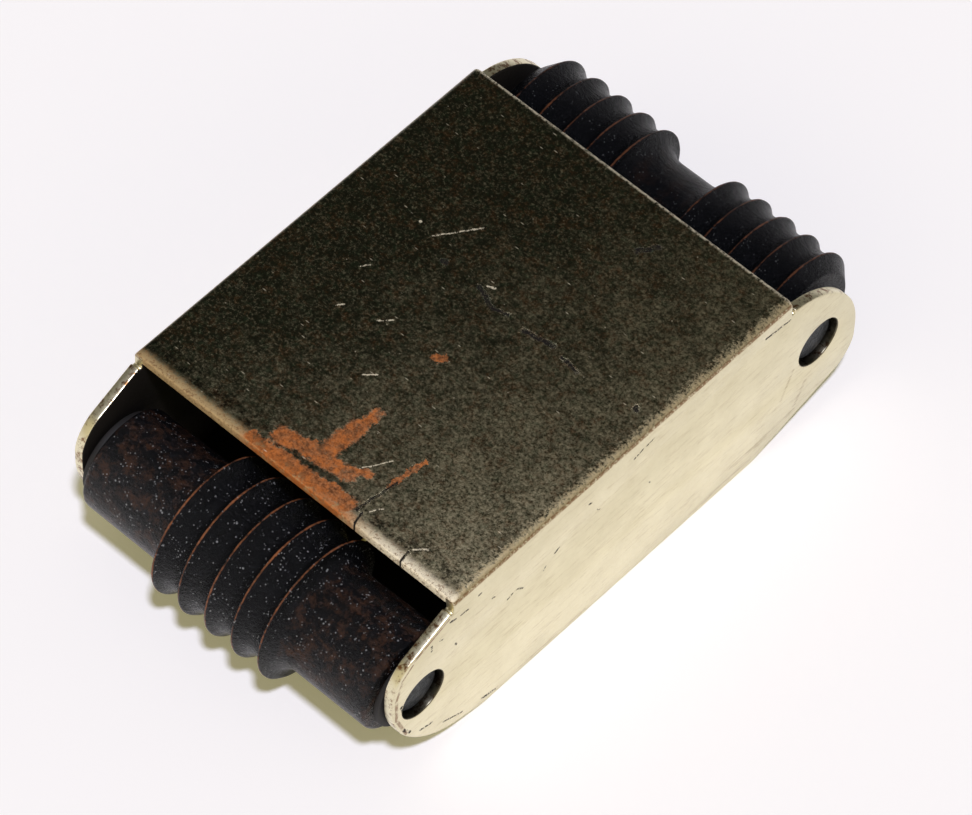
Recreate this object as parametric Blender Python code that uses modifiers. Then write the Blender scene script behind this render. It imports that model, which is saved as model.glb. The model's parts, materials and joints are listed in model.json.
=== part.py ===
"""Two-roller unit: a pressed sheet-metal case that carries two ribbed rollers.

The case is one blank, folded round into a flat tube with its seam underneath.
Its side plates run on past the top plate as four ears, and an axle lies between
each pair of ears.  The front roller has its ribs in the middle, the rear roller
has them towards both ends.  X runs along the axles, the front is at -Y, and Z = 0
is the surface that the case stands on.  All sizes are in metres.
"""

import math

import bmesh
import bpy

# Case: one folded blank
CASE_WIDTH = 0.0323
CASE_HEIGHT = 0.0175
FRONT_PLATE_REACH = 0.01875
REAR_PLATE_REACH = 0.01825
UNDERSIDE_REACH = 0.0140
UNDERSIDE_CORNER = 0.0003
SHEET = 0.0009
TOP_BEND_RADIUS = 0.0006
LOWER_BEND_RADIUS = 0.0005
SEAM_GAP = 0.0003

# Ears: the ends of the side plates, which differ a little from front to rear
FRONT_EAR_REACH = 0.00335
FRONT_EAR_NECK_DROP = 0.00095
FRONT_EAR_TOP_FALL = 0.0030
FRONT_EAR_TOP_RADIUS = 0.0035
FRONT_EAR_LOWER_RISE = 0.0028
FRONT_EAR_LOWER_RADIUS = 0.0096
REAR_EAR_REACH = 0.00445
REAR_EAR_NECK_DROP = 0.0012
REAR_EAR_TOP_FALL = 0.0020
REAR_EAR_TOP_RADIUS = 0.0090
REAR_EAR_LOWER_RISE = 0.0036
REAR_EAR_LOWER_RADIUS = 0.0030
RELIEF_WIDTH = 0.0003
RELIEF_DEPTH = 0.0004
RELIEF_CORNER = 0.0001

# Axles
AXLE_SPACING = 0.0437
AXLE_HEIGHT = 0.0089
AXLE_RADIUS = 0.00205
AXLE_END_RECESS = 0.00055
AXLE_CHAMFER = 0.00025
RUNNING_CLEARANCE = 0.00015

# Washers, one between each roller end and its ear
WASHER_RADIUS = 0.0037
WASHER_THICKNESS = 0.0005
SIDE_CLEARANCE = 0.0002

# Rollers
RIB_RADIUS = 0.0062
RIB_CREST_WIDTH = 0.00022
ROLLER_END_CHAMFER = 0.0003
SLEEVE_CLEARANCE = 0.0001

FRONT_BARREL_RADIUS = 0.0045
FRONT_RIB_COUNT = 5
FRONT_RIB_PITCH = 0.0027
FRONT_GROOVE_DEPTH = 0.00075
FRONT_FLANK_WIDTH = 0.0016

REAR_BARREL_RADIUS = 0.0047
REAR_RIB_COUNT = 5
REAR_RIB_PITCH = 0.00242
REAR_FIRST_RIB = 0.00355
REAR_GROOVE_DEPTH = 0.0005
REAR_FLANK_WIDTH = 0.0020

# Fineness of round shapes
TURNED_STEPS = 48
GROOVE_SEGMENTS = 6
ARC_STEP = math.radians(7.5)
MERGE_DISTANCE = 0.000001

# Worked out from the sizes above
EAR_INNER_X = CASE_WIDTH / 2 - SHEET
ROLLER_HALF_LENGTH = EAR_INNER_X - WASHER_THICKNESS - 2 * SIDE_CLEARANCE
AXLE_HALF_LENGTH = CASE_WIDTH / 2 - AXLE_END_RECESS
AXLE_HOLE_RADIUS = AXLE_RADIUS + RUNNING_CLEARANCE
BORE_RADIUS = AXLE_RADIUS + SLEEVE_CLEARANCE
CUT_MARGIN = SHEET
CASE_HALF_LENGTH = AXLE_SPACING / 2 + max(FRONT_EAR_REACH, REAR_EAR_REACH)


def clear_scene():
    """Remove every object that the file opens with."""
    for old in list(bpy.data.objects):
        bpy.data.objects.remove(old, do_unlink=True)


def new_collection(name):
    """Add a collection to the scene."""
    collection = bpy.data.collections.new(name)
    bpy.context.scene.collection.children.link(collection)
    return collection


def new_material(name, colour, roughness, metallic):
    """A plain Principled material."""
    material = bpy.data.materials.new(name)
    material.use_nodes = True
    shader = material.node_tree.nodes["Principled BSDF"]
    shader.inputs["Base Color"].default_value = (*colour, 1.0)
    shader.inputs["Roughness"].default_value = roughness
    shader.inputs["Metallic"].default_value = metallic
    return material


def corner_bend(before, corner, after):
    """Heading into a corner (u, v, radius), its turn, and how far its rounding reaches."""
    in_angle = math.atan2(corner[1] - before[1], corner[0] - before[0])
    out_angle = math.atan2(after[1] - corner[1], after[0] - corner[0])
    turn = math.remainder(out_angle - in_angle, math.tau)
    return in_angle, turn, corner[2] * math.tan(abs(turn) / 2)


def rounded_outline(corners):
    """Points of a closed outline whose corners (u, v, radius) are rounded off.

    Where two roundings need more than the side between them, both are made smaller.
    """
    count = len(corners)
    bends = [
        corner_bend(corners[index - 1], corners[index], corners[(index + 1) % count])
        for index in range(count)
    ]
    points = []
    for index, (u, v, radius) in enumerate(corners):
        in_angle, turn, reach = bends[index]
        if reach <= 0:
            points.append((u, v))
            continue
        room = 1.0
        for other in (index - 1, (index + 1) % count):
            side_length = math.dist(corners[other][:2], (u, v))
            room = min(room, side_length / (reach + bends[other][2]))
        start_u = u - room * reach * math.cos(in_angle)
        start_v = v - room * reach * math.sin(in_angle)
        bow = math.copysign(room * radius, turn)
        centre_u = start_u - bow * math.sin(in_angle)
        centre_v = start_v + bow * math.cos(in_angle)
        steps = max(2, math.ceil(abs(turn) / ARC_STEP))
        for step in range(steps + 1):
            heading = in_angle + turn * step / steps
            points.append((
                centre_u + bow * math.sin(heading),
                centre_v - bow * math.cos(heading),
            ))
    return points


def extruded_outline(name, points, half_depth, rotation, collection):
    """A solid mesh: a flat outline with half_depth of material on each side."""
    curve = bpy.data.curves.new(name, "CURVE")
    curve.dimensions = "2D"
    curve.fill_mode = "BOTH"
    curve.extrude = half_depth
    spline = curve.splines.new("POLY")
    spline.points.add(len(points) - 1)
    for point, (u, v) in zip(spline.points, points):
        point.co = (u, v, 0.0, 1.0)
    spline.use_cyclic_u = True
    drawn = bpy.data.objects.new(name + "_outline", curve)
    drawn.rotation_euler = rotation
    collection.objects.link(drawn)

    bpy.context.view_layer.update()
    depsgraph = bpy.context.evaluated_depsgraph_get()
    mesh = bpy.data.meshes.new_from_object(drawn.evaluated_get(depsgraph))
    mesh.name = name
    solid = bpy.data.objects.new(name, mesh)
    solid.matrix_world = drawn.matrix_world
    collection.objects.link(solid)
    bpy.data.objects.remove(drawn, do_unlink=True)

    cage = bmesh.new()
    cage.from_mesh(mesh)
    bmesh.ops.remove_doubles(cage, verts=cage.verts, dist=MERGE_DISTANCE)
    bmesh.ops.recalc_face_normals(cage, faces=cage.faces)
    cage.to_mesh(mesh)
    cage.free()
    return solid


def hide_cutter(cutter):
    """Show a cutter as a wire frame, and never in a picture."""
    cutter.display_type = "WIRE"
    cutter.hide_render = True


def add_boolean(target, cutter, operation):
    """Cut or trim one solid with another."""
    modifier = target.modifiers.new(cutter.name, "BOOLEAN")
    modifier.operation = operation
    modifier.object = cutter
    modifier.solver = "EXACT"


def folded_section():
    """Section of the sheet across the case, from one side of the seam to the other."""
    half = CASE_WIDTH / 2
    inner = half - SHEET
    right = [
        (SEAM_GAP / 2, SHEET, 0.0),
        (SEAM_GAP / 2, 0.0, 0.0),
        (half, 0.0, LOWER_BEND_RADIUS),
        (half, CASE_HEIGHT, TOP_BEND_RADIUS),
    ]
    right_inside = [
        (inner, CASE_HEIGHT - SHEET, TOP_BEND_RADIUS - SHEET),
        (inner, SHEET, LOWER_BEND_RADIUS - SHEET),
    ]
    left = [(-x, z, radius) for x, z, radius in reversed(right)]
    left_inside = [(-x, z, radius) for x, z, radius in reversed(right_inside)]
    return rounded_outline(right + left + left_inside + right_inside)


def end_corners(plate_reach, ear_reach, neck, top_fall, top_radius, lower_rise, lower_radius):
    """Corners (y, z, radius) of one end of the side outline, from the underside up."""
    ear_end = AXLE_SPACING / 2 + ear_reach
    ear_start = plate_reach + RELIEF_WIDTH
    relief = neck - RELIEF_DEPTH
    return [
        (UNDERSIDE_REACH, 0.0, 0.0),
        (ear_end, lower_rise, lower_radius),
        (ear_end, neck - top_fall, top_radius),
        (ear_start, neck, RELIEF_CORNER),
        (ear_start, relief, RELIEF_CORNER),
        (plate_reach, relief, RELIEF_CORNER),
        (plate_reach, CASE_HEIGHT, 0.0),
    ]


def side_outline():
    """The case seen from the side: the plate length, the bend reliefs and the ears."""
    rear = end_corners(
        REAR_PLATE_REACH, REAR_EAR_REACH, CASE_HEIGHT - REAR_EAR_NECK_DROP,
        REAR_EAR_TOP_FALL, REAR_EAR_TOP_RADIUS, REAR_EAR_LOWER_RISE, REAR_EAR_LOWER_RADIUS)
    front = end_corners(
        FRONT_PLATE_REACH, FRONT_EAR_REACH, CASE_HEIGHT - FRONT_EAR_NECK_DROP,
        FRONT_EAR_TOP_FALL, FRONT_EAR_TOP_RADIUS, FRONT_EAR_LOWER_RISE, FRONT_EAR_LOWER_RADIUS)
    mirrored = [(-y, z, radius) for y, z, radius in reversed(front)]
    return rounded_outline(rear + mirrored)


def make_case(parts, cutters, material):
    """The folded tube, trimmed to the side outline and drilled for the axles."""
    case = extruded_outline(
        "case", folded_section(), CASE_HALF_LENGTH + CUT_MARGIN, (math.pi / 2, 0.0, 0.0), parts)
    trim = extruded_outline(
        "case_side_trim", side_outline(), CASE_WIDTH / 2 + CUT_MARGIN,
        (math.pi / 2, 0.0, math.pi / 2), cutters)
    hide_cutter(trim)
    add_boolean(case, trim, "INTERSECT")
    for name, side in (("front", -1), ("rear", 1)):
        underside_trim = make_underside_trim(name, side, cutters)
        add_boolean(case, underside_trim, "DIFFERENCE")
        bpy.ops.mesh.primitive_cylinder_add(
            vertices=TURNED_STEPS, radius=AXLE_HOLE_RADIUS,
            depth=CASE_WIDTH + 2 * CUT_MARGIN,
            location=(0.0, side * AXLE_SPACING / 2, AXLE_HEIGHT),
            rotation=(0.0, math.pi / 2, 0.0))
        drill = bpy.context.object
        drill.name = name + "_axle_drill"
        move_to(drill, cutters)
        hide_cutter(drill)
        add_boolean(case, drill, "DIFFERENCE")
    case.data.materials.append(material)
    return case


def make_underside_trim(name, side, cutters):
    """A block that ends the underside square, between the side plates."""
    length = CASE_HALF_LENGTH + CUT_MARGIN - UNDERSIDE_REACH
    bpy.ops.mesh.primitive_cube_add(
        size=1.0,
        location=(0.0, side * (UNDERSIDE_REACH + length / 2), SHEET / 2),
        scale=(2 * (EAR_INNER_X - UNDERSIDE_CORNER), length, SHEET + 2 * CUT_MARGIN))
    block = bpy.context.object
    block.name = name + "_underside_trim"
    move_to(block, cutters)
    hide_cutter(block)
    return block


def move_to(item, collection):
    """Put an object in one collection only."""
    for holder in list(item.users_collection):
        holder.objects.unlink(item)
    collection.objects.link(item)


def turned(name, profile, place, collection, material):
    """A solid turned about the X direction through place.

    The profile is a row of (radius, distance along the axis), which runs down its
    outer side from the +X end to the -X end.  It is closed into a loop, except
    where it starts and ends on the axis itself.
    """
    mesh = bpy.data.meshes.new(name)
    cage = bmesh.new()
    ring = [cage.verts.new((radius, 0.0, along)) for radius, along in profile]
    following = ring[1:]
    if profile[0][0] > 0:
        following = following + ring[:1]
    for vert, next_vert in zip(ring, following):
        cage.edges.new((vert, next_vert))
    cage.to_mesh(mesh)
    cage.free()
    item = bpy.data.objects.new(name, mesh)
    item.location = place
    item.rotation_euler = (0.0, math.pi / 2, 0.0)
    collection.objects.link(item)
    screw = item.modifiers.new("turn", "SCREW")
    screw.axis = "Z"
    screw.angle = math.tau
    screw.steps = TURNED_STEPS
    screw.render_steps = TURNED_STEPS
    screw.use_merge_vertices = True
    screw.merge_threshold = MERGE_DISTANCE
    screw.use_smooth_shade = True
    item.data.materials.append(material)
    return item


def ring_profile(outer, inner, start, end):
    """Loop of a plain ring between two places on the axis."""
    return [(inner, end), (outer, end), (outer, start), (inner, start)]


def groove_arc(left, right, depth):
    """Round hollow between two crests, as points from right to left."""
    half = (right - left) / 2
    middle = (right + left) / 2
    radius = (half * half + depth * depth) / (2 * depth)
    spread = math.asin(min(1.0, half / radius))
    points = []
    for step in range(GROOVE_SEGMENTS + 1):
        angle = spread * (1 - 2 * step / GROOVE_SEGMENTS)
        along = middle + radius * math.sin(angle)
        drop = radius * math.cos(angle) - (radius - depth)
        points.append((RIB_RADIUS - drop, along))
    return points


def flank_fillet(crest, foot, barrel_radius):
    """Hollow flank from the edge of a crest down to the barrel, at foot."""
    height = RIB_RADIUS - barrel_radius
    points = []
    for step in range(GROOVE_SEGMENTS + 1):
        angle = math.pi / 2 * step / GROOVE_SEGMENTS
        along = crest + (foot - crest) * (1 - math.cos(angle))
        points.append((RIB_RADIUS - height * math.sin(angle), along))
    return points


def rib_group(centres, depth):
    """Outer profile over a row of ribs, from the last (+X) crest to the first."""
    half_crest = RIB_CREST_WIDTH / 2
    points = []
    for right, left in zip(centres[::-1], centres[-2::-1]):
        points += groove_arc(left + half_crest, right - half_crest, depth)
    return points


def sleeve(outer_profile):
    """An outer profile with the two ends of the bore added."""
    right_mouth = (BORE_RADIUS, ROLLER_HALF_LENGTH)
    left_mouth = (BORE_RADIUS, -ROLLER_HALF_LENGTH)
    return [right_mouth] + outer_profile + [left_mouth]


def front_profile():
    """Plain at both ends, with one row of ribs in the middle."""
    half_crest = RIB_CREST_WIDTH / 2
    middle = (FRONT_RIB_COUNT - 1) / 2
    centres = [(index - middle) * FRONT_RIB_PITCH for index in range(FRONT_RIB_COUNT)]
    crest = centres[-1] + half_crest
    flank = flank_fillet(crest, crest + FRONT_FLANK_WIDTH, FRONT_BARREL_RADIUS)
    right_end = [
        (FRONT_BARREL_RADIUS - ROLLER_END_CHAMFER, ROLLER_HALF_LENGTH),
        (FRONT_BARREL_RADIUS, ROLLER_HALF_LENGTH - ROLLER_END_CHAMFER),
    ]
    right_side = right_end + flank[::-1]
    left_side = [(radius, -along) for radius, along in reversed(right_side)]
    ribs = rib_group(centres, FRONT_GROOVE_DEPTH)
    return sleeve(right_side + ribs + left_side)


def rear_profile():
    """Plain in the middle, with a row of ribs towards each end."""
    half_crest = RIB_CREST_WIDTH / 2
    centres = [REAR_FIRST_RIB + index * REAR_RIB_PITCH for index in range(REAR_RIB_COUNT)]
    inner_crest = centres[0] - half_crest
    outer_crest = centres[-1] + half_crest
    end_radius = RIB_RADIUS - (ROLLER_HALF_LENGTH - outer_crest)
    right_row = [(end_radius, ROLLER_HALF_LENGTH), (RIB_RADIUS, outer_crest)]
    right_row += rib_group(centres, REAR_GROOVE_DEPTH)
    right_row += flank_fillet(inner_crest, inner_crest - REAR_FLANK_WIDTH, REAR_BARREL_RADIUS)
    left_row = [(radius, -along) for radius, along in reversed(right_row)]
    return sleeve(right_row + left_row)


def axle_profile():
    """A plain pin with chamfered ends, from the axis round to the axis."""
    return [
        (0.0, AXLE_HALF_LENGTH),
        (AXLE_RADIUS - AXLE_CHAMFER, AXLE_HALF_LENGTH),
        (AXLE_RADIUS, AXLE_HALF_LENGTH - AXLE_CHAMFER),
        (AXLE_RADIUS, -AXLE_HALF_LENGTH + AXLE_CHAMFER),
        (AXLE_RADIUS - AXLE_CHAMFER, -AXLE_HALF_LENGTH),
        (0.0, -AXLE_HALF_LENGTH),
    ]


def make_roller(side, profile, parts, rubber, steel, fibre):
    """One roller with its axle and its two washers; side is "front" or "rear"."""
    y = AXLE_SPACING / 2 * (1 if side == "rear" else -1)
    place = (0.0, y, AXLE_HEIGHT)
    roller = turned(side + "_roller", profile, place, parts, rubber)
    axle = turned(side + "_axle", axle_profile(), place, parts, steel)
    washer_x = ROLLER_HALF_LENGTH + SIDE_CLEARANCE + WASHER_THICKNESS / 2
    washer_profile = ring_profile(
        WASHER_RADIUS, AXLE_HOLE_RADIUS, -WASHER_THICKNESS / 2, WASHER_THICKNESS / 2)
    pieces = [axle]
    for hand, direction in (("left", -1), ("right", 1)):
        washer_place = (direction * washer_x, y, AXLE_HEIGHT)
        name = side + "_" + hand + "_washer"
        pieces.append(turned(name, washer_profile, washer_place, parts, fibre))
    bpy.context.view_layer.update()
    for piece in pieces:
        placed = piece.matrix_world.copy()
        piece.parent = roller
        piece.matrix_world = placed
    return roller


def main():
    """Build the whole unit."""
    clear_scene()
    parts = new_collection("two_roller_unit")
    cutters = new_collection("cutters")
    nickel = new_material("tarnished nickel plate", (0.42, 0.39, 0.31), 0.38, 1.0)
    rubber = new_material("black hard rubber", (0.018, 0.016, 0.015), 0.42, 0.0)
    steel = new_material("blackened steel", (0.055, 0.057, 0.06), 0.45, 0.9)
    fibre = new_material("black fibre", (0.012, 0.011, 0.011), 0.7, 0.0)
    make_case(parts, cutters, nickel)
    make_roller("front", front_profile(), parts, rubber, steel, fibre)
    make_roller("rear", rear_profile(), parts, rubber, steel, fibre)


main()
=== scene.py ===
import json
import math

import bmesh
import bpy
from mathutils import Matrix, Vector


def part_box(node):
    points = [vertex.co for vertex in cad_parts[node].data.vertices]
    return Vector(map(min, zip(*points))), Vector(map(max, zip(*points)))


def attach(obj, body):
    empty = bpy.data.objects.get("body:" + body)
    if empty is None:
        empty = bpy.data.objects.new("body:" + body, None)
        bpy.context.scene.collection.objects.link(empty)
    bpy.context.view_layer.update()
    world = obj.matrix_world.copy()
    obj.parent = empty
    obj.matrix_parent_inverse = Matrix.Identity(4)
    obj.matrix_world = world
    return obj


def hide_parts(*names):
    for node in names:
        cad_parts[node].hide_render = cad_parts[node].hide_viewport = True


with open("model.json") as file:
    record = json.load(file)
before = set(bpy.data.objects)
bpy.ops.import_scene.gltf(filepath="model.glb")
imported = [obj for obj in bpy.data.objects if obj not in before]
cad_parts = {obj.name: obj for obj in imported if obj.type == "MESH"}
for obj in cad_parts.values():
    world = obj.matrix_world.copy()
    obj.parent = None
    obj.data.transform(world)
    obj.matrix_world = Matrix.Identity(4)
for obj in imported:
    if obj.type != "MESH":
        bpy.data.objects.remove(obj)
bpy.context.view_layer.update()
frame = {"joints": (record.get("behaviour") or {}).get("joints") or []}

# %% [markdown]
# # A small nickel-plated case with two ribbed rollers
#
# The object is a folded sheet-metal case, about as long as a thumb.  Four ears
# stand out of its side plates, and a black roller turns between each pair of ears.
# The front roller has five ribs in its middle, the rear one has five towards each end.
#
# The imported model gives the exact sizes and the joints.  This script keeps them, and
# makes the fine surface over them: rounded edges, turned ribs, and worn finishes.
# Everything is in metres, so lengths are written in millimetres times MM.

MM = 0.001
case_low, case_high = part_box("case")
axle_place = {joint["child"]: Vector(joint["pos_m"]) for joint in frame["joints"]}
print("case", [round(size / MM, 2) for size in case_high - case_low], "mm")
for body, place in axle_place.items():
    print(body, "turns about", tuple(round(value / MM, 2) for value in place))

# %% [markdown]
# ## Camera
#
# The picture looks down on the front right corner.  The camera is placed as a
# photographer would describe it: so far round, so far up, a slight roll, and a long
# lens from half a metre away, which keeps the case's edges nearly parallel.

# %% Camera at the photographed angle
CAMERA_AROUND = math.radians(40.83)
CAMERA_UP = math.radians(54.75)
CAMERA_ROLL = math.radians(2.37)
CAMERA_DISTANCE = 520.67 * MM
CAMERA_SLIDE = Vector((1.37, -6.09, 0.0)) * MM
CAMERA_LENS = 260.75
CAMERA_SENSOR = 36.0
CAMERA_NEAREST = 10.0 * MM

turn = Matrix.Rotation(CAMERA_AROUND, 4, "Z") @ Matrix.Rotation(math.pi / 2 - CAMERA_UP, 4, "X")
turn = turn @ Matrix.Rotation(CAMERA_ROLL, 4, "Z")
top_middle = Vector((0.0, 0.0, case_high.z))
camera_place = top_middle + turn @ (CAMERA_SLIDE + Vector((0.0, 0.0, CAMERA_DISTANCE)))
bpy.ops.object.camera_add(location=camera_place, rotation=turn.to_euler())
camera = bpy.context.object
camera.data.lens = CAMERA_LENS
camera.data.sensor_width = CAMERA_SENSOR
camera.data.clip_start = CAMERA_NEAREST
bpy.context.scene.camera = camera
print("camera", tuple(round(value / MM, 1) for value in camera_place), "mm")

# %% [markdown]
# ## Node helpers
#
# The surroundings and all finishes are recipes of shader nodes.  Written out one by
# one they are long, so a few helpers add a node and return the socket that comes out.

# %% Helpers for nodes
def step(tree, kind, inputs=None, **settings):
    """Add one node; an input is a number, a colour or another node's socket."""
    node = tree.nodes.new("ShaderNode" + kind)
    for name, value in settings.items():
        setattr(node, name, value)
    for name, value in (inputs or {}).items():
        socket = node.inputs[name]
        if isinstance(value, bpy.types.NodeSocket):
            tree.links.new(value, socket)
        else:
            socket.default_value = value
    return node


def sum_of(tree, operation, first, second=0.0):
    """One sum on numbers."""
    return step(tree, "Math", {0: first, 1: second}, operation=operation).outputs[0]


def times(tree, first, second):
    """The product of two numbers, which keeps what both masks have."""
    return sum_of(tree, "MULTIPLY", first, second)


def most(tree, first, second):
    """The larger of two numbers, which joins two masks."""
    return sum_of(tree, "MAXIMUM", first, second)


def soft_step(tree, value, low, high):
    """0 before low, 1 past high and smooth between; low may be the larger one."""
    if low < high:
        ends = {"From Min": low, "From Max": high, "To Min": 0.0, "To Max": 1.0}
    else:
        ends = {"From Min": high, "From Max": low, "To Min": 1.0, "To Max": 0.0}
    ends["Value"] = value
    return step(tree, "MapRange", ends, interpolation_type="SMOOTHSTEP").outputs[0]


def blend(tree, amount, first, second):
    """Mix two colours."""
    node = step(tree, "Mix", {"Factor": amount}, data_type="RGBA")
    for name, value in ((6, first), (7, second)):
        if isinstance(value, bpy.types.NodeSocket):
            tree.links.new(value, node.inputs[name])
        else:
            node.inputs[name].default_value = (*value, 1.0)
    return node.outputs[2]


# %% [markdown]
# ## Floor, light and surroundings
#
# The floor is a plain pale sheet, a hair below the case so that the two faces don't
# flicker.  One lamp far away, from the front right and high
# up, gives the scalloped shadows of the ribs.  The surroundings are warm: pale low
# down in front, dimmer behind and dark overhead, like a room with one light wall.
# Metal is a mirror, so this matters as much as the lamp: the top plate shows the dark
# part, and the side plates show the floor.

# %% Floor
FLOOR_SIZE = 4000.0 * MM
FLOOR_DROP = 0.05 * MM
FLOOR_COLOUR = (0.94, 0.935, 0.985, 1.0)
FLOOR_GLOW = (0.175, 0.16, 0.07, 1.0)
FLOOR_ROUGHNESS = 0.9

bpy.context.scene.view_settings.view_transform = "Standard"
bpy.ops.object.select_all(action="DESELECT")
bpy.ops.mesh.primitive_plane_add(size=FLOOR_SIZE, location=(0.0, 0.0, -FLOOR_DROP))
floor = bpy.context.object
floor.name = "floor"
floor_finish = bpy.data.materials.new("pale floor")
floor_finish.use_nodes = True
tree = floor_finish.node_tree
shader = tree.nodes["Principled BSDF"]
shader.inputs["Base Color"].default_value = FLOOR_COLOUR
shader.inputs["Roughness"].default_value = FLOOR_ROUGHNESS
shader.inputs["Specular IOR Level"].default_value = 0.0
shader.inputs["Emission Color"].default_value = FLOOR_GLOW
rays = step(tree, "LightPath")
seen = most(tree, rays.outputs["Is Camera Ray"], rays.outputs["Is Glossy Ray"])
seen = most(tree, seen, rays.outputs["Is Transmission Ray"])
tree.links.new(seen, shader.inputs["Emission Strength"])
floor.data.materials.append(floor_finish)

# %% Lamp and surroundings
LAMP_DIRECTION = Vector((0.326, -0.284, 1.0))
LAMP_SPREAD = math.radians(4.5)
LAMP_STRENGTH = 2.1
LAMP_COLOUR = (0.98, 0.985, 1.18)
FRONT_DIRECTION = (0.56, -0.80, 0.2)
FRONT_WALL = (0.70, 0.62, 0.42)
BACK_WALL = (0.12, 0.115, 0.10)
CEILING = (0.11, 0.105, 0.085)
FRONT_FADE = (-0.3, 0.7)
CEILING_FADE = (0.8, 0.5)

bpy.ops.object.light_add(type="SUN", rotation=LAMP_DIRECTION.to_track_quat("Z", "Y").to_euler())
lamp = bpy.context.object
lamp.data.energy = LAMP_STRENGTH
lamp.data.angle = LAMP_SPREAD
lamp.data.color = LAMP_COLOUR

world = bpy.data.worlds.new("room")
world.use_nodes = True
bpy.context.scene.world = world
room = world.node_tree
outward = step(room, "TexCoord").outputs["Generated"]
facing = step(room, "VectorMath", {0: outward, 1: FRONT_DIRECTION}, operation="DOT_PRODUCT")
in_front = soft_step(room, facing.outputs["Value"], *FRONT_FADE)
height = step(room, "SeparateXYZ", {"Vector": outward}).outputs["Z"]
low_down = soft_step(room, height, *CEILING_FADE)
walls = blend(room, in_front, BACK_WALL, FRONT_WALL)
surroundings = blend(room, low_down, CEILING, walls)
room.links.new(surroundings, room.nodes["Background"].inputs["Color"])
print("lamp", LAMP_STRENGTH, "floor", FLOOR_SIZE / MM, "mm wide")

# %% [markdown]
# ## Modelling helpers
#
# Every piece starts as a Blender primitive and is shaped in edit mode, as by hand.
# These helpers do what the mouse would do: pick faces, edges or points by their place,
# and cut one solid with another.

# %% Helpers for shaping
TINY = 0.01 * MM


def block(name, low, high):
    """A cube stretched between two corners."""
    low = Vector(low)
    high = Vector(high)
    bpy.ops.object.select_all(action="DESELECT")
    bpy.ops.mesh.primitive_cube_add(size=1.0, location=(low + high) / 2, scale=high - low)
    bpy.ops.object.transform_apply(location=True, rotation=True, scale=True)
    piece = bpy.context.object
    piece.name = name
    return piece


def pick(kind, test):
    """In edit mode, select the points, edges or faces whose middle passes a test."""
    bpy.ops.mesh.select_mode(type=kind)
    bpy.ops.mesh.select_all(action="DESELECT")
    mesh = bpy.context.object.data
    cage = bmesh.from_edit_mesh(mesh)
    items = {"VERT": cage.verts, "EDGE": cage.edges, "FACE": cage.faces}[kind]
    for item in items:
        corners = [item] if kind == "VERT" else item.verts
        middle = sum((corner.co for corner in corners), Vector()) / len(corners)
        if test(item, middle):
            item.select_set(True)
    bmesh.update_edit_mesh(mesh)


def settle(piece, modifier):
    """Apply one modifier."""
    bpy.ops.object.select_all(action="DESELECT")
    piece.select_set(True)
    bpy.context.view_layer.objects.active = piece
    bpy.ops.object.modifier_apply(modifier=modifier.name)


def carve(piece, tool, operation="DIFFERENCE"):
    """Cut a piece with a tool, or keep what they share, and throw the tool away."""
    modifier = piece.modifiers.new("carve", "BOOLEAN")
    modifier.operation = operation
    modifier.object = tool
    modifier.solver = "EXACT"
    settle(piece, modifier)
    bpy.data.objects.remove(tool, do_unlink=True)


# %% [markdown]
# ## The case
#
# The real case looks like one blank of nickel-plated steel, folded round into a flat
# tube, and its bends are sharp on the outside.  The picture shows no seam, so the seam
# is put underneath, which is a guess.  The tube is made first,
# as a box with rounded long edges and a hollow cut through it.  The side outline with
# its four ears is a second solid, and the two are kept only where they meet, which
# trims both side plates at once, exactly alike.

# %% Folded tube
SHEET = 0.9 * MM
TOP_BEND = 0.6 * MM
LOWER_BEND = 0.5 * MM
SEAM_GAP = 0.3 * MM
BEND_SEGMENTS = 6
SPARE = 1.0 * MM

half_width = case_high.x
inner_half = half_width - SHEET
case_height = case_high.z
beyond = half_width + SPARE

case = block(
    "case_shell", (-half_width, case_low.y - SPARE, 0.0), (half_width, case_high.y + SPARE, case_height))
bpy.ops.object.mode_set(mode="EDIT")
for bend, height in ((TOP_BEND, case_height), (LOWER_BEND, 0.0)):
    pick("EDGE", lambda edge, middle: abs(middle.y) < case_high.y and abs(middle.x) > inner_half
         and abs(middle.z - height) < TINY)
    bpy.ops.mesh.bevel(offset=bend, segments=BEND_SEGMENTS, affect="EDGES")
bpy.ops.object.mode_set(mode="OBJECT")
hollow = block(
    "hollow", (-inner_half, case_low.y - 2 * SPARE, SHEET),
    (inner_half, case_high.y + 2 * SPARE, case_height - SHEET))
carve(case, hollow)
print("folded tube", len(case.data.polygons), "faces")

# %% Side outline with its ears
UNDERSIDE_REACH = 14.0 * MM
EAR_SEGMENTS = 24
FRONT_END = {
    "end": -case_low.y, "plate": 18.75 * MM, "neck": 16.55 * MM,
    "fall": 3.0 * MM, "top_radius": 3.5 * MM, "rise": 2.8 * MM, "lower_radius": 9.6 * MM,
}
REAR_END = {
    "end": case_high.y, "plate": 18.25 * MM, "neck": 16.3 * MM,
    "fall": 2.0 * MM, "top_radius": 9.0 * MM, "rise": 3.6 * MM, "lower_radius": 3.0 * MM,
}


def rounding(radius, climb, run):
    """How far a rounding reaches from the corner between an upright end and a slope."""
    return radius * math.tan((math.pi / 2 - math.atan2(climb, run)) / 2)


def wedge(name, low, high, far, height, shift):
    """A block whose edge at one height, on its far side, is moved up or down."""
    piece = block(name, low, high)
    bpy.ops.object.mode_set(mode="EDIT")
    pick("VERT", lambda point, middle: abs(middle.y) > far - TINY and abs(middle.z - height) < TINY)
    bpy.ops.transform.translate(value=(0.0, 0.0, shift))
    bpy.ops.object.mode_set(mode="OBJECT")
    return piece


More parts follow.
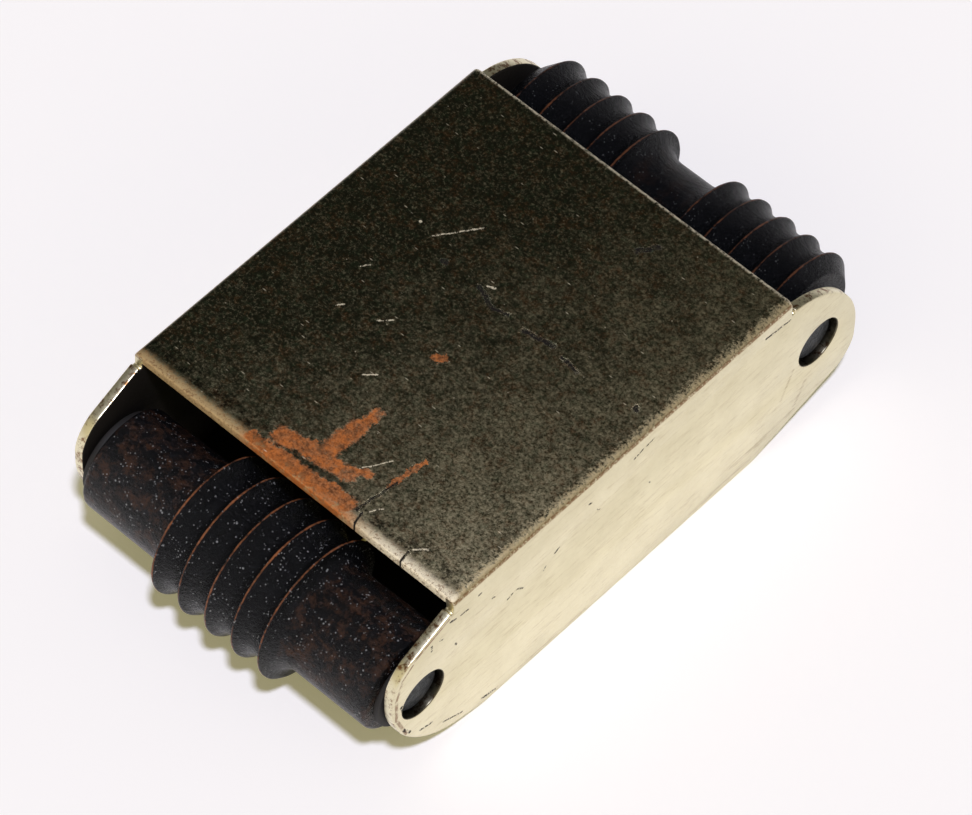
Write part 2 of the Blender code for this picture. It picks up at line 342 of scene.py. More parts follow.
outline = block(
    "outline", (-beyond, case_low.y, -SPARE), (beyond, case_high.y, case_height + SPARE))
for side, end in ((-1, FRONT_END), (1, REAR_END)):
    far = end["end"] + SPARE
    run = end["end"] - UNDERSIDE_REACH
    slope = end["rise"] / run
    near = UNDERSIDE_REACH - SPARE
    near_side, far_side = sorted((side * near, side * far))
    carve(outline, wedge(
        "lower slope", (-2 * beyond, near_side, -3 * SPARE),
        (2 * beyond, far_side, -slope * SPARE), far, -slope * SPARE, slope * (far - near)))

    top_run = end["end"] - end["plate"]
    near_side, far_side = sorted((side * end["plate"], side * far))
    drop = end["fall"] * (far - end["plate"]) / top_run
    carve(outline, wedge(
        "shoulder", (-2 * beyond, near_side, end["neck"]),
        (2 * beyond, far_side, case_height + 2 * SPARE), far, end["neck"], -drop))

    bpy.ops.object.mode_set(mode="EDIT")
    lower_reach = rounding(end["lower_radius"], end["rise"], run)
    top_reach = rounding(end["top_radius"], end["fall"], top_run)
    lower_corner = (end["rise"], lower_reach)
    top_corner = (end["neck"] - end["fall"], top_reach)
    for height, reach in (lower_corner, top_corner):
        pick("EDGE", lambda edge, middle: side * middle.y > end["end"] - TINY
             and abs(middle.x) < TINY and abs(middle.z - height) < TINY)
        bpy.ops.mesh.bevel(offset=reach, segments=EAR_SEGMENTS, affect="EDGES")
    bpy.ops.object.mode_set(mode="OBJECT")
carve(case, outline, "INTERSECT")
print("trimmed case", len(case.data.polygons), "faces")

# %% [markdown]
# Small slots beside the top plate let the sheet be bent there without tearing.  The
# underside ends square between the side plates, the seam runs along its middle, and
# the axle holes go through both sides in one pass of the drill, so that they line up.

# %% Reliefs, underside, seam and axle holes
UNDERSIDE_CORNER = 0.3 * MM
RELIEF_WIDTH = 0.3 * MM
RELIEF_DEPTH = 0.4 * MM
HOLE_RADIUS = 2.2 * MM
HOLE_STEPS = 64

for side, end in ((-1, FRONT_END), (1, REAR_END)):
    near, far = sorted((side * end["plate"], side * (end["plate"] + RELIEF_WIDTH)))
    relief = block(
        "relief", (-beyond, near, end["neck"] - RELIEF_DEPTH), (beyond, far, case_height + SPARE))
    carve(case, relief)
    near, far = sorted((side * UNDERSIDE_REACH, side * (end["end"] + SPARE)))
    opening_half = inner_half - UNDERSIDE_CORNER
    opening = block("opening", (-opening_half, near, -SPARE), (opening_half, far, 2 * SHEET))
    carve(case, opening)
seam = block(
    "seam", (-SEAM_GAP / 2, -UNDERSIDE_REACH - SPARE, -SPARE),
    (SEAM_GAP / 2, UNDERSIDE_REACH + SPARE, 2 * SHEET))
carve(case, seam)
for place in axle_place.values():
    bpy.ops.object.select_all(action="DESELECT")
    bpy.ops.mesh.primitive_cylinder_add(
        vertices=HOLE_STEPS, radius=HOLE_RADIUS, depth=2 * beyond, location=place,
        rotation=(0.0, math.pi / 2, 0.0))
    bpy.ops.object.transform_apply(location=True, rotation=True, scale=True)
    carve(case, bpy.context.object)
print("case with holes", len(case.data.polygons), "faces")

# %% [markdown]
# Wear has rounded every cut edge of the sheet.  A Bevel
# modifier, limited by angle, gives that rounding everywhere at once.

# %% Worn edges
EDGE_ROUNDING = 0.16 * MM
EDGE_ANGLE = math.radians(32.0)
EDGE_SEGMENTS = 3
CASE_SMOOTH_ANGLE = math.radians(40.0)

worn_edges = case.modifiers.new("worn edges", "BEVEL")
worn_edges.width = EDGE_ROUNDING
worn_edges.segments = EDGE_SEGMENTS
worn_edges.limit_method = "ANGLE"
worn_edges.angle_limit = EDGE_ANGLE
worn_edges.use_clamp_overlap = False
settle(case, worn_edges)
bpy.ops.object.shade_smooth_by_angle(angle=CASE_SMOOTH_ANGLE)
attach(case, "case")
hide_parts("case")
print("case shell", len(case.data.polygons), "faces")

# %% [markdown]
# ## Rollers, axles and washers
#
# These are all round, as if turned on a lathe, so Blender's Spin makes them: an outline is drawn
# point by point beside the axle and swept round it.  The ribs are separate rings with
# sharp crests and hollow grooves between them, not a screw thread.

# %% Turning helpers
TURNED_STEPS = 128
SMALL_TURNED_STEPS = 64
MERGE_DISTANCE = 0.001 * MM
TURNED_SMOOTH_ANGLE = math.radians(50.0)


def lathe(name, profile, axle, steps=TURNED_STEPS):
    """Spin an outline of (place along the axle, radius) points round an axle."""
    points = [axle + Vector((along, 0.0, radius)) for along, radius in profile]
    bpy.ops.object.select_all(action="DESELECT")
    bpy.ops.mesh.primitive_plane_add(size=MM, location=points[0])
    bpy.ops.object.transform_apply(location=True, rotation=True, scale=True)
    piece = bpy.context.object
    piece.name = name
    bpy.ops.object.mode_set(mode="EDIT")
    bpy.ops.mesh.select_mode(type="VERT")
    bpy.ops.mesh.select_all(action="SELECT")
    bpy.ops.mesh.merge(type="CENTER")
    for start, end in zip(points, points[1:]):
        bpy.ops.mesh.extrude_vertices_move(TRANSFORM_OT_translate={"value": end - start})
    bpy.ops.mesh.select_all(action="SELECT")
    bpy.ops.mesh.spin(steps=steps, angle=math.tau, center=axle, axis=(1.0, 0.0, 0.0))
    bpy.ops.mesh.select_all(action="SELECT")
    bpy.ops.mesh.remove_doubles(threshold=MERGE_DISTANCE)
    bpy.ops.mesh.normals_make_consistent(inside=False)
    bpy.ops.object.mode_set(mode="OBJECT")
    bpy.ops.object.shade_smooth_by_angle(angle=TURNED_SMOOTH_ANGLE)
    print(name, len(piece.data.polygons), "faces")
    return piece


def quarter_round(along, radius, size, first, last, steps=4):
    """Points of a rounded corner; first and last are angles from the axle's direction."""
    points = []
    for index in range(steps + 1):
        angle = math.radians(first + (last - first) * index / steps)
        points.append((along + size * math.cos(angle), radius + size * math.sin(angle)))
    return points


# %% Rib outlines
RIBS_IN_A_ROW = 5
RIB_RADIUS = 6.2 * MM
CREST_WIDTH = 0.22 * MM
CREST_LIP = 0.06 * MM
GROOVE_STEPS = 12


def crest(middle):
    """The small rounded lip on top of one rib."""
    points = []
    for degrees in (160, 125, 90, 55, 20):
        angle = math.radians(degrees)
        along = middle + (CREST_WIDTH / 2) * math.cos(angle)
        points.append((along, RIB_RADIUS - CREST_LIP + CREST_LIP * math.sin(angle)))
    return points


def groove(left, right, depth):
    """The hollow between two crests, as part of a circle."""
    half = (right - left - CREST_WIDTH) / 2
    middle = (left + right) / 2
    sweep_radius = (half * half + depth * depth) / (2 * depth)
    spread = math.asin(half / sweep_radius)
    points = []
    for index in range(1, GROOVE_STEPS):
        angle = spread * (2 * index / GROOVE_STEPS - 1)
        drop = sweep_radius * math.cos(angle) - (sweep_radius - depth)
        points.append((middle + sweep_radius * math.sin(angle), RIB_RADIUS - CREST_LIP - drop))
    return points


def rib_row(centres, depth):
    """Crests and grooves from the first rib to the last."""
    points = crest(centres[0])
    for left, right in zip(centres, centres[1:]):
        points += groove(left, right, depth) + crest(right)
    return points


def flank(crest_edge, foot, barrel, steps=10):
    """The hollow slope from the outermost crest down to the plain barrel."""
    height = RIB_RADIUS - CREST_LIP - barrel
    points = []
    for index in range(1, steps + 1):
        angle = math.pi / 2 * index / steps
        along = crest_edge + (foot - crest_edge) * (1 - math.cos(angle))
        points.append((along, RIB_RADIUS - CREST_LIP - height * math.sin(angle)))
    return points


def mirrored(points):
    """The same outline for the other end of the roller."""
    return [(-along, radius) for along, radius in reversed(points)]


# %% Front roller: five ribs in the middle
roller_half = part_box("front_roller")[1].x
BORE_RADIUS = 2.15 * MM
END_ROUNDING = 0.35 * MM
FRONT_BARREL = 4.5 * MM
FRONT_PITCH = 2.7 * MM
FRONT_GROOVE = 0.75 * MM
FRONT_FLANK = 1.6 * MM

centres = [(index - RIBS_IN_A_ROW // 2) * FRONT_PITCH for index in range(RIBS_IN_A_ROW)]
crest_edge = centres[-1] + CREST_WIDTH / 2
right_part = flank(crest_edge, crest_edge + FRONT_FLANK, FRONT_BARREL)
right_part += quarter_round(roller_half - END_ROUNDING, FRONT_BARREL - END_ROUNDING, END_ROUNDING, 90, 0)
right_part += [(roller_half, BORE_RADIUS)]
front_outline = mirrored(right_part) + rib_row(centres, FRONT_GROOVE) + right_part
front_sleeve = lathe(
    "front_roller_sleeve", front_outline + front_outline[:1], axle_place["front_roller"])

# %% Rear roller: five ribs towards each end
REAR_BARREL = 4.7 * MM
REAR_PITCH = 2.42 * MM
REAR_FIRST_RIB = 3.55 * MM
REAR_GROOVE = 0.5 * MM
REAR_FLANK = 2.0 * MM
REAR_END_ROUNDING = 0.2 * MM
REAR_END_START = 55

centres = [REAR_FIRST_RIB + index * REAR_PITCH for index in range(RIBS_IN_A_ROW)]
inner_edge = centres[0] - CREST_WIDTH / 2
ledge = roller_half - centres[-1] - CREST_WIDTH / 2
end_radius = RIB_RADIUS - CREST_LIP - ledge
right_part = list(reversed(flank(inner_edge, inner_edge - REAR_FLANK, REAR_BARREL)))
right_part += rib_row(centres, REAR_GROOVE)
right_part += quarter_round(
    roller_half - REAR_END_ROUNDING, end_radius - REAR_END_ROUNDING / 2, REAR_END_ROUNDING,
    REAR_END_START, 0)
right_part += [(roller_half, BORE_RADIUS)]
rear_outline = mirrored(right_part) + right_part
rear_sleeve = lathe(
    "rear_roller_sleeve", rear_outline + rear_outline[:1], axle_place["rear_roller"])

# %% [markdown]
# Hard rubber is never quite even.  A faint cloudy displacement makes the ribs waver by
# a few hundredths of a millimetre, so their highlights break up as on the real ones.

# %% Uneven rubber
UNEVEN_HEIGHT = 0.07 * MM
UNEVEN_SIZE = 1.6 * MM
UNEVEN_DEPTH = 3
UNEVEN_MIDDLE = 0.6

uneven = bpy.data.textures.new("uneven rubber", "CLOUDS")
uneven.noise_scale = UNEVEN_SIZE
uneven.noise_depth = UNEVEN_DEPTH
for sleeve, body in ((front_sleeve, "front_roller"), (rear_sleeve, "rear_roller")):
    swell = sleeve.modifiers.new("uneven rubber", "DISPLACE")
    swell.texture = uneven
    swell.texture_coords = "LOCAL"
    swell.strength = UNEVEN_HEIGHT
    swell.mid_level = UNEVEN_MIDDLE
    settle(sleeve, swell)
    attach(sleeve, body)
    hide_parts(body)
print("rollers made uneven by", UNEVEN_HEIGHT / MM, "mm")

# %% [markdown]
# An axle's end shows in each hole of the ears, a little below the surface.  It is a
# plain pin with a rounded rim and a very slightly domed end.  A thin fibre washer
# fills most of the gap between each roller end and its ear.

# %% Axles and washers
AXLE_RADIUS = 2.05 * MM
AXLE_RIM = 0.3 * MM
AXLE_DOME = 0.06 * MM
WASHER_RIM = 0.12 * MM

pins = []
washers = []
for side in ("front", "rear"):
    body = side + "_roller"
    place = axle_place[body]
    pin_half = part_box(side + "_axle")[1].x
    tip = quarter_round(pin_half - AXLE_DOME - AXLE_RIM, AXLE_RADIUS - AXLE_RIM, AXLE_RIM, 90, 10)
    tip += [(pin_half - AXLE_DOME / 2, AXLE_RADIUS / 2), (pin_half, 0.0)]
    pin = lathe(side + "_axle_pin", mirrored(tip) + tip, place, steps=SMALL_TURNED_STEPS)
    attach(pin, body)
    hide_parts(side + "_axle")
    pins.append(pin)
    for hand in ("left", "right"):
        node = side + "_" + hand + "_washer"
        low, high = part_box(node)
        middle = Vector(((low.x + high.x) / 2, place.y, place.z))
        half = (high.x - low.x) / 2 - WASHER_RIM
        rim = high.z - place.z - WASHER_RIM
        ring = [(-half - WASHER_RIM, HOLE_RADIUS)]
        ring += quarter_round(-half, rim, WASHER_RIM, 180, 90)
        ring += quarter_round(half, rim, WASHER_RIM, 90, 0)
        ring += [(half + WASHER_RIM, HOLE_RADIUS)]
        washer = lathe(node + "_ring", ring + ring[:1], middle, steps=SMALL_TURNED_STEPS)
        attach(washer, body)
        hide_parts(node)
        washers.append(washer)

# %% [markdown]
# ## Finishes
#
# Every finish reads the piece's own coordinates in millimetres, so the marks stay where
# they are on the piece, also when a roller turns.  Clouds and flecks give the chance
# part of the wear.  The marks that can be told one by one, such as a long scratch, are
# drawn as strokes: the distance from a line decides where the mark is.  A mark is
# written as the two ends of its line and its reach, in millimetres.

# %% Helpers for finishes
FLECK_CORE = 0.4
STROKE_CORE = 0.45
SHORTEST_STROKE = 0.0001


def new_finish(name):
    """An empty recipe: its material, its nodes, its shader and the place in millimetres."""
    finish = bpy.data.materials.new(name)
    finish.use_nodes = True
    tree = finish.node_tree
    shader = tree.nodes["Principled BSDF"]
    place = step(tree, "TexCoord").outputs["Object"]
    millimetres = step(tree, "VectorMath", {0: place, "Scale": 1 / MM}, operation="SCALE")
    return finish, tree, shader, millimetres.outputs["Vector"]


def clouds(tree, place, scale, detail=4.0, roughness=0.6, start=(0.0, 0.0, 0.0)):
    """Cloudy variation about 0.5; start moves it, so that two clouds differ."""
    moved = step(tree, "VectorMath", {0: place, 1: start}, operation="ADD").outputs["Vector"]
    settings = {"Vector": moved, "Scale": scale, "Detail": detail, "Roughness": roughness}
    return step(tree, "TexNoise", settings).outputs["Fac"]


def flecks(tree, place, scale, size, share):
    """Scattered flecks: 1 inside them; share is how many of the cells have one."""
    cells = step(tree, "TexVoronoi", {"Vector": place, "Scale": scale})
    chance = step(tree, "SeparateColor", {"Color": cells.outputs["Color"]}).outputs["Red"]
    kept = sum_of(tree, "LESS_THAN", chance, share)
    spot = soft_step(tree, cells.outputs["Distance"], size, size * FLECK_CORE)
    return times(tree, kept, spot)


def stroke(tree, place, start, end, reach):
    """1 along the line from start to end, fading to 0 at reach from it."""
    start = Vector(start)
    along = Vector(end) - start
    offset = step(tree, "VectorMath", {0: place, 1: start}, operation="SUBTRACT").outputs["Vector"]
    run = step(tree, "VectorMath", {0: offset, 1: along}, operation="DOT_PRODUCT").outputs["Value"]
    share = step(
        tree, "Math", {0: run, 1: 1 / max(along.length_squared, SHORTEST_STROKE)},
        operation="MULTIPLY", use_clamp=True)
    nearest = step(
        tree, "VectorMath", {0: along, "Scale": share.outputs[0]}, operation="SCALE")
    gap = step(
        tree, "VectorMath", {0: offset, 1: nearest.outputs["Vector"]}, operation="DISTANCE")
    return soft_step(tree, gap.outputs["Value"], reach, reach * STROKE_CORE)


def strokes(tree, place, marks):
    """All strokes of a list, joined into one mask."""
    total = None
    for start, end, reach in marks:
        mark = stroke(tree, place, start, end, reach)
        total = mark if total is None else most(tree, total, mark)
    return total


def on_top_plate(marks):
    """Marks given by (x, y), as places on the top plate."""
    return [((*start, 0.0), (*end, 0.0), reach) for start, end, reach in marks]


def on_side_plate(marks):
    """Marks given by (y, z), as places on a side plate."""
    return [((0.0, *start), (0.0, *end), reach) for start, end, reach in marks]


def relief_bump(tree, shader, height, distance, strength=1.0):
    """Let a height in 0 to 1, times a distance in metres, tilt the surface."""
    bump = step(tree, "Bump", {"Height": height, "Distance": distance, "Strength": strength})
    tree.links.new(bump.outputs["Normal"], shader.inputs["Normal"])


# %% [markdown]
# ### Tarnished nickel: the top plate
#
# The top plate has gone dark and olive, with a fine speckle of brown, green and grey, and its
# colour is made darker towards the rear left.  Short scratches and specks show bare metal, and
# rust has come through at the front edge in a hook that points up the plate.
#
# This recipe is a long one.  When more strokes were added once, the case rendered solid
# black without any message.

# %% Colours and marks of the nickel
TARNISH_DARK = (0.045, 0.046, 0.028)
TARNISH_LIGHT = (0.74, 0.65, 0.42)
TARNISH_BROWN = (0.22, 0.10, 0.04)
TARNISH_GREEN = (0.08, 0.15, 0.08)
BARE_UPPER = (0.68, 0.62, 0.42)
BARE_LOWER = (0.82, 0.76, 0.54)
# Cream stands for bare worn metal, and also for a painted highlight along the rear edge of the top.
CREAM_WEAR_AND_HIGHLIGHT = (0.96, 0.86, 0.62)
# Olive stands for worn tarnish, and also for painted reflection low on the side plates and along the right
# bend.
OLIVE_WEAR_AND_REFLECTION = (0.46, 0.37, 0.20)
CUT_TAN = (0.50, 0.35, 0.16)
RUST_LIGHT = (0.52, 0.16, 0.035)
RUST_DARK = (0.16, 0.045, 0.012)
LINE_BROWN = (0.22, 0.11, 0.045)
# The darkest colour stands for dirt in pits and marks, and also for painted shade inside the case and in
# the axle holes.
GRIME_AND_PAINTED_SHADE = (0.012, 0.010, 0.008)

RUST_MARKS = on_top_plate([
    ((-4.4, -18.4), (0.1, -18.0), 1.1), ((0.1, -18.0), (4.7, -17.6), 1.0),
    ((-3.1, -16.7), (0.3, -15.9), 1.2), ((0.3, -15.9), (0.5, -12.6), 1.35),
    ((0.5, -12.6), (0.7, -10.4), 0.8), ((0.3, -16.2), (2.9, -15.8), 1.1),
    ((2.4, -15.8), (4.0, -14.7), 0.6), ((0.3, -3.9), (0.8, -3.4), 0.6),
    ((5.7, -14.6), (6.1, -11.2), 0.3),
])
BRIGHT_MARKS = on_top_plate([
    ((-7.5, 4.2), (-5.2, 7.4), 0.09), ((-9.1, 4.6), (-9.05, 4.6), 0.16),
    ((3.1, -14.9), (4.4, -12.7), 0.06), ((10.8, -17.4), (11.6, -16.6), 0.09),
    ((-8.3, -5.4), (-7.9, -4.9), 0.10), ((-9.4, -1.5), (-9.0, -0.9), 0.09),
    ((-5.1, -4.3), (-4.3, -3.5), 0.09), ((-2.5, -8.6), (-1.7, -7.9), 0.09),
    ((-1.3, 3.7), (-0.8, 3.9), 0.13), ((6.2, -17.2), (6.8, -16.3), 0.07),
])
DARK_MARKS = on_top_plate([
    ((6.4, -19.3), (5.8, -17.6), 0.12), ((10.8, -19.0), (10.7, -17.8), 0.12),
    ((5.4, -17.8), (5.9, -13.9), 0.16), ((4.5, 13.7), (5.4, 15.1), 0.35),
    ((-1.8, 3.2), (0.4, 2.4), 0.28), ((0.4, 2.4), (1.5, 2.8), 0.24),
    ((3.4, 2.5), (5.9, 3.0), 0.28), ((7.0, 2.7), (8.8, 2.5), 0.22),
    ((13.9, 3.1), (14.2, 2.9), 0.25), ((-5.3, 3.0), (-5.0, 3.1), 0.35),
])
GREY_MARKS = on_top_plate([
    ((-1.7, -17.25), (0.2, -17.2), 0.45), ((0.2, -17.2), (3.4, -16.8), 0.45),
])
SIDE_PITS = on_side_plate([
    ((-19.2, 15.5), (-18.6, 15.3), 0.16), ((-18.0, 15.2), (-17.3, 15.1), 0.14),
    ((-16.1, 15.7), (-15.9, 15.7), 0.14), ((-14.6, 13.7), (-14.4, 13.6), 0.12),
    ((-12.9, 11.7), (-12.4, 11.9), 0.12), ((-11.9, 11.9), (-11.2, 11.4), 0.14),
    ((-9.0, 11.3), (-8.8, 11.6), 0.1), ((-7.8, 12.3), (-7.4, 12.5), 0.15),
    ((-21.1, 14.5), (-21.1, 13.8), 0.15), ((-20.2, 14.2), (-19.9, 14.1), 0.13),
    ((-18.5, 12.0), (-18.4, 11.8), 0.13), ((0.7, 15.5), (1.6, 15.8), 0.14),
    ((2.0, 15.8), (2.8, 15.95), 0.11), ((-4.2, 14.8), (-4.0, 14.7), 0.13),
    ((-3.2, 13.1), (-3.0, 12.9), 0.12), ((2.6, 10.5), (2.7, 10.4), 0.1),
    ((15.2, 15.95), (18.0, 15.6), 0.15), ((-22.1, 4.4), (-20.8, 4.0), 0.14),
    ((-19.6, 2.7), (-17.5, 1.7), 0.12), ((-15.3, 1.1), (-13.9, 0.75), 0.17),
    ((-24.2, 9.8), (-24.0, 9.0), 0.2), ((-23.9, 6.4), (-23.2, 5.4), 0.18),
])
# Dark olive streaks low on the side plates and up the lower edge of the rear ears: painted reflection of
# the shade under the case.
LOW_SIDE_PAINTED_REFLECTIONS = on_side_plate([
    ((19.3, 2.6), (15.2, 2.2), 0.42), ((15.2, 2.2), (12.4, 2.1), 0.32),
    ((18.9, 0.95), (7.8, 0.85), 0.22), ((19.0, 8.2), (17.8, 5.4), 0.2),
    ((-13.9, 0.75), (-4.0, 0.7), 0.16), ((20.6, 5.2), (19.3, 2.6), 0.25),
])
EAR_LINES = on_side_plate([
    ((-19.3, 15.95), (-22.6, 14.55), 0.16), ((-22.6, 14.55), (-24.1, 13.2), 0.16),
    ((-24.1, 13.2), (-24.75, 11.2), 0.18), ((-24.75, 11.2), (-24.7, 8.6), 0.22),
    ((-24.7, 8.6), (-23.6, 5.6), 0.2),
])

# %% Tarnish with its speckle
SCRATCH_TURN = math.radians(54.0)
SCRATCH_STRETCH = (0.25, 1.0, 1.0)
LIGHTER_TO_THE_RIGHT = 0.014
LIGHTER_TO_THE_REAR = -0.006

nickel, tree, shader, place = new_finish("tarnished nickel")
axes = step(tree, "SeparateXYZ", {"Vector": place})
across = axes.outputs["X"]
forward = axes.outputs["Y"]
upward = axes.outputs["Z"]
flat = step(tree, "VectorMath", {0: place, 1: (1.0, 1.0, 0.0)}, operation="MULTIPLY").outputs["Vector"]
upright = step(tree, "VectorMath", {0: place, 1: (0.0, 1.0, 1.0)}, operation="MULTIPLY").outputs["Vector"]
plate_right = half_width / MM
plate_front = -FRONT_END["plate"] / MM
plate_rear = REAR_END["plate"] / MM
plate_top = case_height / MM

patches = clouds(tree, place, 0.25, 5.0, 0.6)
mottle = clouds(tree, place, 1.5, 8.0, 0.75)
grain = clouds(tree, place, 4.4, 3.0, 0.75, (9.0, 2.0, 4.0))
lighter = times(tree, across, LIGHTER_TO_THE_RIGHT)
lighter = sum_of(tree, "ADD", lighter, times(tree, forward, LIGHTER_TO_THE_REAR))
tone = sum_of(tree, "ADD", times(tree, patches, 0.35), times(tree, mottle, 0.65))
tone = sum_of(tree, "ADD", tone, lighter)
slanted = step(
    tree, "Mapping", {"Vector": place, "Rotation": (0.0, 0.0, -SCRATCH_TURN), "Scale": SCRATCH_STRETCH})
slanted = slanted.outputs["Vector"]
scuffs = clouds(tree, slanted, 2.6, 5.0, 0.75, (4.0, 11.0, 2.0))
tone = sum_of(tree, "ADD", tone, times(tree, sum_of(tree, "SUBTRACT", scuffs, 0.5), 0.35))
tarnish = blend(tree, soft_step(tree, tone, 0.35, 0.98), TARNISH_DARK, TARNISH_LIGHT)
brown = soft_step(tree, clouds(tree, place, 1.1, 7.0, 0.8, (31.0, 7.0, 3.0)), 0.46, 0.7)
tarnish = blend(tree, times(tree, brown, 0.8), tarnish, TARNISH_BROWN)
green = soft_step(tree, clouds(tree, place, 1.6, 7.0, 0.8, (-13.0, 17.0, 5.0)), 0.46, 0.7)
tarnish = blend(tree, times(tree, green, 0.6), tarnish, TARNISH_GREEN)
tarnish = blend(tree, times(tree, soft_step(tree, grain, 0.6, 0.28), 0.85), tarnish, TARNISH_DARK)
tarnish = blend(tree, times(tree, soft_step(tree, grain, 0.48, 0.85), 0.6), tarnish, TARNISH_LIGHT)

# %% Wear, rust and scratches on the top plate
waver = step(tree, "TexNoise", {"Vector": place, "Scale": 1.2, "Detail": 6.0, "Roughness": 0.8})
shift = step(tree, "VectorMath", {0: waver.outputs["Color"], 1: (0.5, 0.5, 0.5)}, operation="SUBTRACT")


def wavering(amount):
    """The place on the top plate, pushed aside by clouds."""
    reach = (amount, amount, 0.0)
    push = step(tree, "VectorMath", {0: shift.outputs["Vector"], 1: reach}, operation="MULTIPLY")
    return step(tree, "VectorMath", {0: flat, 1: push.outputs["Vector"]}, operation="ADD").outputs["Vector"]


on_top = soft_step(tree, upward, plate_top - 0.5, plate_top - 0.1)
ragged = wavering(1.8)
breaks = soft_step(tree, grain, 0.36, 0.52)
rust_shape = times(tree, strokes(tree, ragged, RUST_MARKS), on_top)
rust = sum_of(tree, "ADD", times(tree, rust_shape, 0.75), mottle)
rust = soft_step(tree, rust, 0.8, 1.4)
rust_tone = sum_of(tree, "ADD", times(tree, grain, 0.5), times(tree, mottle, 0.5))
rust_colour = blend(tree, soft_step(tree, rust_tone, 0.34, 0.62), RUST_DARK, RUST_LIGHT)

front_wear = sum_of(tree, "ADD", forward, times(tree, grain, 1.3))
front_wear = times(tree, soft_step(tree, front_wear, plate_front + 1.7, plate_front + 0.9), 0.9)
# A thin cream line along the rear edge of the top, broken by the grain, is a painted highlight on the
# rounded arris.
rear_edge_highlight = soft_step(tree, forward, plate_rear - 0.35, plate_rear - 0.15)
# A ragged olive band along the right bend of the top: partly wear, partly a painted reflection of the bend.
right_bend_wear_and_reflection = sum_of(tree, "ADD", across, times(tree, grain, 2.4))
right_bend_wear_and_reflection = soft_step(tree, right_bend_wear_and_reflection, plate_right + 0.2, plate_right + 1.1)
front_pits = times(
    tree, soft_step(tree, forward, plate_front + 3.2, plate_front + 1.2), soft_step(tree, mottle, 0.5, 0.4))
rusty = times(tree, soft_step(tree, across, -6.5, -3.5), soft_step(tree, across, 7.0, 4.5))
edge_colour = blend(tree, soft_step(tree, across, 4.0, 10.0), CUT_TAN, CREAM_WEAR_AND_HIGHLIGHT)
edge_colour = blend(tree, times(tree, rusty, soft_step(tree, mottle, 0.36, 0.52)), edge_colour, RUST_LIGHT)
edge_colour = blend(tree, times(tree, soft_step(tree, grain, 0.5, 0.36), 0.7), edge_colour, LINE_BROWN)
edge_colour = blend(tree, strokes(tree, flat, DARK_MARKS[:2]), edge_colour, GRIME_AND_PAINTED_SHADE)

top_colour = blend(tree, times(tree, front_pits, 0.8), tarnish, GRIME_AND_PAINTED_SHADE)
top_colour = blend(tree, times(tree, right_bend_wear_and_reflection, 0.85), top_colour, OLIVE_WEAR_AND_REFLECTION)
top_colour = blend(tree, times(tree, times(tree, rear_edge_highlight, breaks), 0.6), top_colour, CREAM_WEAR_AND_HIGHLIGHT)
top_colour = blend(tree, times(tree, front_wear, 0.95), top_colour, edge_colour)
top_colour = blend(tree, times(tree, strokes(tree, flat, GREY_MARKS), 0.6), top_colour, TARNISH_DARK)
top_colour = blend(tree, rust, top_colour, rust_colour)
specks = flecks(tree, slanted, 1.3, 0.09, 0.30)
specks = most(tree, specks, flecks(tree, slanted, 2.2, 0.13, 0.22))
specks = most(tree, specks, flecks(tree, place, 1.6, 0.11, 0.10))
bright = times(tree, strokes(tree, wavering(0.5), BRIGHT_MARKS), breaks)
bright = times(tree, most(tree, bright, times(tree, specks, 0.6)), 0.7)
top_colour = blend(tree, bright, top_colour, CREAM_WEAR_AND_HIGHLIGHT)
dark_marks = times(tree, strokes(tree, wavering(1.0), DARK_MARKS), on_top)
dark_marks = times(tree, dark_marks, soft_step(tree, grain, 0.34, 0.5))
top_colour = blend(tree, dark_marks, top_colour, GRIME_AND_PAINTED_SHADE)

# %% [markdown]
# ### The side plates, the cut edges and the inside
#
# The side plates have stayed clean and warm, with a few pits and olive stains, and low down
# a dark olive streak is painted as the reflection of the shade under the case.  A thin brown
# line is drawn along the bend.  The cut front edge of the sheet is tan, rusty in the middle
# and bright to the right, and the inside is painted nearly black as the shade in the closed case.

# %% Side plates, their rims and holes
sheen = clouds(tree, place, 0.35, 4.0, 0.6, (3.0, 1.0, 8.0))
warmer = sum_of(tree, "ADD", sheen, times(tree, upward, -0.02))
side_colour = blend(tree, soft_step(tree, warmer, -0.1, 0.8), BARE_UPPER, BARE_LOWER)
drawn_out = step(tree, "VectorMath", {0: place, 1: (1.0, 0.3, 2.5)}, operation="MULTIPLY").outputs["Vector"]
brushed = clouds(tree, drawn_out, 1.3, 6.0, 0.8, (2.0, 5.0, 1.0))
side_colour = blend(tree, times(tree, soft_step(tree, brushed, 0.5, 0.72), 0.55), side_colour, OLIVE_WEAR_AND_REFLECTION)
# Painted reflection: the low streaks stand for the shade under the case seen in the side plate.
low_painted_reflection = times(tree, strokes(tree, upright, LOW_SIDE_PAINTED_REFLECTIONS), soft_step(tree, brushed, 0.42, 0.6))
side_colour = blend(tree, times(tree, low_painted_reflection, 0.7), side_colour, OLIVE_WEAR_AND_REFLECTION)
is_right = sum_of(tree, "GREATER_THAN", across, 0.0)
pits = times(tree, strokes(tree, upright, SIDE_PITS), soft_step(tree, grain, 0.42, 0.54))
pits = times(tree, pits, is_right)
lines = times(tree, strokes(tree, upright, EAR_LINES), soft_step(tree, mottle, 0.35, 0.55))
side_colour = blend(tree, times(tree, times(tree, lines, is_right), 0.8), side_colour, LINE_BROWN)
side_colour = blend(tree, pits, side_colour, GRIME_AND_PAINTED_SHADE)
fine_pits = flecks(tree, place, 1.4, 0.1, 0.12)
side_colour = blend(tree, times(tree, fine_pits, 0.7), side_colour, LINE_BROWN)

